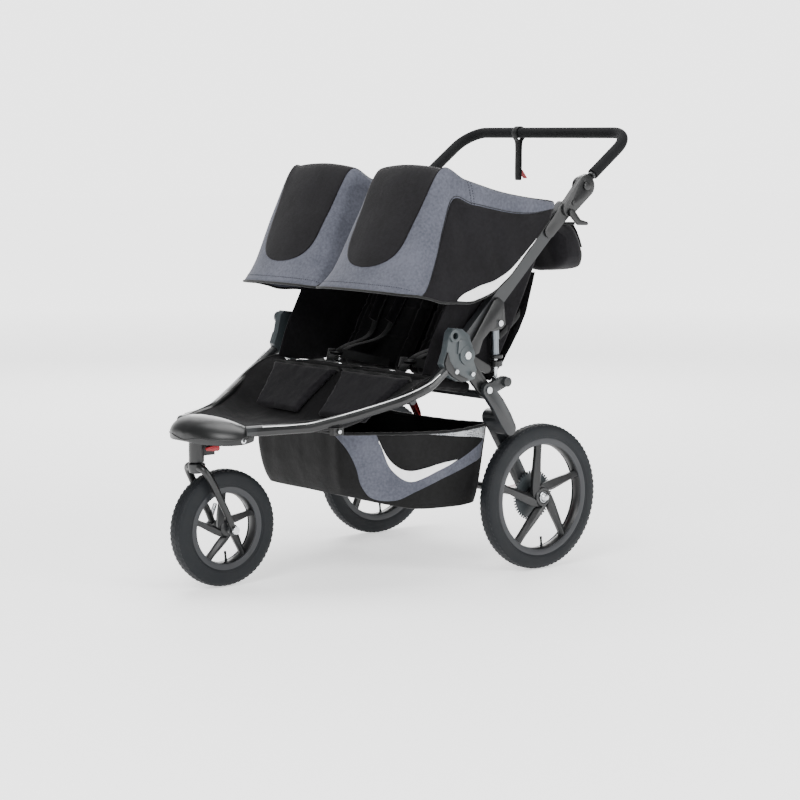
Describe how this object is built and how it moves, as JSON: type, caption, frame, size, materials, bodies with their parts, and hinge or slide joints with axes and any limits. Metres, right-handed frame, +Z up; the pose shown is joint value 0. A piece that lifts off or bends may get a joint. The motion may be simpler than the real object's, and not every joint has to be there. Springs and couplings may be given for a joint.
{
  "type": "jogging stroller",
  "caption": "Side-by-side jogging stroller with a folding frame, swivelling front wheel, sprung rear wheels, reclining seats, canopies and an under-seat basket.",
  "frame": {"origin": "on the floor, under the middle of the outer box", "axes": "-Y the way the stroller rolls, +X its own left side, +Z up"},
  "size_m": [0.777, 1.33, 1.1994],
  "materials": {
    "frame_tube": "satin black powder coat",
    "black_plastic": "fine moulded grain",
    "cast_grey": "satin grey moulding",
    "swing_arm": "satin dark grey powder coat",
    "bright_steel": "zinc plated",
    "shock_grey": "anodised",
    "seat_fabric": "woven polyester",
    "canopy_fabric": "woven polyester",
    "basket_fabric": "woven polyester with mesh",
    "webbing": "ribbed webbing",
    "red_webbing": "ribbed webbing",
    "grip_foam": "closed-cell foam",
    "tyre_rubber": "treaded rubber",
    "wheel_plastic": "glass-filled nylon",
    "red_plastic": "moulded"
  },
  "bodies": {
    "chassis": {"nose_cap": "black_plastic", "head_bracket": "black_plastic", "side_rail_left": "frame_tube", "side_rail_right": "frame_tube", "cross_tubes": "frame_tube", "side_hub_left": "cast_grey", "side_hub_right": "cast_grey", "pivot_pins": "bright_steel", "seat_cushion_left": "seat_fabric", "seat_cushion_right": "seat_fabric", "calf_panel": "seat_fabric", "footwell": "seat_fabric", "basket": "basket_fabric", "frame_bolts": "bright_steel"},
    "swivel_lock": {"swivel_lock_knob": "red_plastic"},
    "upper_frame": {"upper_tube_left": "frame_tube", "upper_tube_right": "frame_tube", "top_crossbar": "frame_tube", "top_hub_left": "cast_grey", "top_hub_right": "cast_grey", "rear_pouch": "seat_fabric", "side_wing_left": "seat_fabric", "side_wing_right": "seat_fabric"},
    "backrest_left": {"backrest_left": "seat_fabric", "harness_left": "webbing"},
    "backrest_right": {"backrest_right": "seat_fabric", "harness_right": "webbing"},
    "canopy_left": {"canopy_left": "canopy_fabric", "canopy_bow_left": "frame_tube"},
    "canopy_right": {"canopy_right": "canopy_fabric", "canopy_bow_right": "frame_tube"},
    "handlebar": {"handle_tube": "frame_tube", "grip_foam": "grip_foam", "handle_knuckles": "cast_grey"},
    "wrist_strap": {"wrist_strap": "webbing"},
    "release_lever_left": {"release_lever_left": "black_plastic"},
    "release_lever_right": {"release_lever_right": "black_plastic"},
    "rear_links": {"link_plate_left": "cast_grey", "link_plate_right": "cast_grey", "tie_tube": "frame_tube", "link_bolts": "bright_steel", "fold_strap": "red_webbing"},
    "shock_body_left": {"shock_body_left": "shock_grey"},
    "shock_body_right": {"shock_body_right": "shock_grey"},
    "shock_rod_left": {"shock_rod_left": "bright_steel"},
    "shock_rod_right": {"shock_rod_right": "bright_steel"},
    "rear_frame": {"swing_arm_left": "swing_arm", "swing_arm_right": "swing_arm", "axle_tube": "frame_tube"},
    "brake_pedal": {"brake_pedal": "red_plastic"},
    "rear_wheel_left": {"rear_tyre_left": "tyre_rubber", "rear_rim_left": "wheel_plastic"},
    "rear_wheel_right": {"rear_tyre_right": "tyre_rubber", "rear_rim_right": "wheel_plastic"},
    "front_fork": {"front_fork": "frame_tube", "front_axle": "bright_steel"},
    "quick_release": {"quick_release": "bright_steel"},
    "front_wheel": {"front_tyre": "tyre_rubber", "front_rim": "wheel_plastic"}
  },
  "joints": [
    {"name": "frame_fold", "type": "hinge", "parent": "chassis", "child": "upper_frame", "pos_m": [0, 0.006, 0.606], "axis": [1, 0, 0], "range_deg": [0, 132], "deforming": ["canopy_left", "canopy_right", "side_wing_left", "side_wing_right"]},
    {"name": "canopy_fold_left", "type": "hinge", "parent": "upper_frame", "child": "canopy_left", "pos_m": [0, 0.28631, 0.87859], "axis": [1, 0, 0], "range_deg": [-132, 0]},
    {"name": "canopy_fold_right", "type": "hinge", "parent": "upper_frame", "child": "canopy_right", "pos_m": [0, 0.28631, 0.87859], "axis": [1, 0, 0], "range_deg": [-132, 0]},
    {"name": "handle_tilt", "type": "hinge", "parent": "upper_frame", "child": "handlebar", "pos_m": [0, 0.455, 1.04], "axis": [1, 0, 0], "range_deg": [-62, 10]},
    {"name": "strap_swing", "type": "hinge", "parent": "handlebar", "child": "wrist_strap", "pos_m": [0, 0.64953, 1.18395], "axis": [1, 0, 0], "range_deg": [-10, 62]},
    {"name": "lever_squeeze_left", "type": "hinge", "parent": "upper_frame", "child": "release_lever_left", "pos_m": [0, 0.39498, 0.96838], "axis": [1, 0, 0], "range_deg": [0, 18], "stiffness_Nm_per_rad": 0.6, "springref_deg": -8.59},
    {"name": "lever_squeeze_right", "type": "hinge", "parent": "upper_frame", "child": "release_lever_right", "pos_m": [0, 0.39498, 0.96838], "axis": [1, 0, 0], "range_deg": [0, 18], "stiffness_Nm_per_rad": 0.6, "springref_deg": -8.59},
    {"name": "recline_left", "type": "hinge", "parent": "upper_frame", "child": "backrest_left", "pos_m": [0, 0.112, 0.54], "axis": [1, 0, 0], "range_deg": [-22, 0]},
    {"name": "recline_right", "type": "hinge", "parent": "upper_frame", "child": "backrest_right", "pos_m": [0, 0.112, 0.54], "axis": [1, 0, 0], "range_deg": [-22, 0]},
    {"name": "rear_fold", "type": "hinge", "parent": "chassis", "child": "rear_links", "pos_m": [0, 0.006, 0.606], "axis": [1, 0, 0], "range_deg": [-70, 0], "deforming": ["fold_strap"]},
    {"name": "suspension", "type": "hinge", "parent": "rear_links", "child": "rear_frame", "pos_m": [0, 0.093, 0.507], "axis": [1, 0, 0], "range_deg": [0, 11], "stiffness_Nm_per_rad": 400, "springref_deg": -11.46},
    {"name": "shock_tilt_left", "type": "hinge", "parent": "rear_links", "child": "shock_body_left", "pos_m": [0, 0.145, 0.681], "axis": [1, 0, 0], "range_deg": [-2.5, 0]},
    {"name": "shock_travel_left", "type": "slide", "parent": "shock_body_left", "child": "shock_rod_left", "axis": [0, -0.0322, 0.9995], "range_m": [0, 0.012]},
    {"name": "shock_tilt_right", "type": "hinge", "parent": "rear_links", "child": "shock_body_right", "pos_m": [0, 0.145, 0.681], "axis": [1, 0, 0], "range_deg": [-2.5, 0]},
    {"name": "shock_travel_right", "type": "slide", "parent": "shock_body_right", "child": "shock_rod_right", "axis": [0, -0.0322, 0.9995], "range_m": [0, 0.012]},
    {"name": "brake_press", "type": "hinge", "parent": "rear_frame", "child": "brake_pedal", "pos_m": [0, 0.32, 0.198], "axis": [1, 0, 0], "range_deg": [-18, 0]},
    {"name": "rear_wheel_spin_left", "type": "hinge", "parent": "rear_frame", "child": "rear_wheel_left", "pos_m": [0.351, 0.292, 0.2], "axis": [1, 0, 0], "continuous": true},
    {"name": "rear_wheel_spin_right", "type": "hinge", "parent": "rear_frame", "child": "rear_wheel_right", "pos_m": [-0.351, 0.292, 0.2], "axis": [1, 0, 0], "continuous": true},
    {"name": "fork_swivel", "type": "hinge", "parent": "chassis", "child": "front_fork", "pos_m": [0, -0.589, 0.36], "axis": [0, 0, 1], "continuous": true},
    {"name": "front_wheel_spin", "type": "hinge", "parent": "front_fork", "child": "front_wheel", "pos_m": [0, -0.509, 0.156], "axis": [1, 0, 0], "continuous": true},
    {"name": "quick_release_flip", "type": "hinge", "parent": "front_fork", "child": "quick_release", "pos_m": [-0.062, -0.509, 0.156], "axis": [0, -0.9285, 0.3714], "range_deg": [0, 90]},
    {"name": "swivel_lock_turn", "type": "hinge", "parent": "chassis", "child": "swivel_lock", "pos_m": [0, -0.541, 0.372], "axis": [1, 0, 0], "range_deg": [0, 90]}
  ],
  "couplings": [
    {"joint": "canopy_fold_left", "follows": "frame_fold", "ratio": -1},
    {"joint": "canopy_fold_right", "follows": "frame_fold", "ratio": -1},
    {"joint": "strap_swing", "follows": "handle_tilt", "ratio": -1},
    {"joint": "shock_tilt_left", "follows": "suspension", "ratio": -0.15616},
    {"joint": "shock_travel_left", "follows": "suspension", "m_per_rad": 0.05525},
    {"joint": "shock_tilt_right", "follows": "suspension", "ratio": -0.15616},
    {"joint": "shock_travel_right", "follows": "suspension", "m_per_rad": 0.05525}
  ]
}
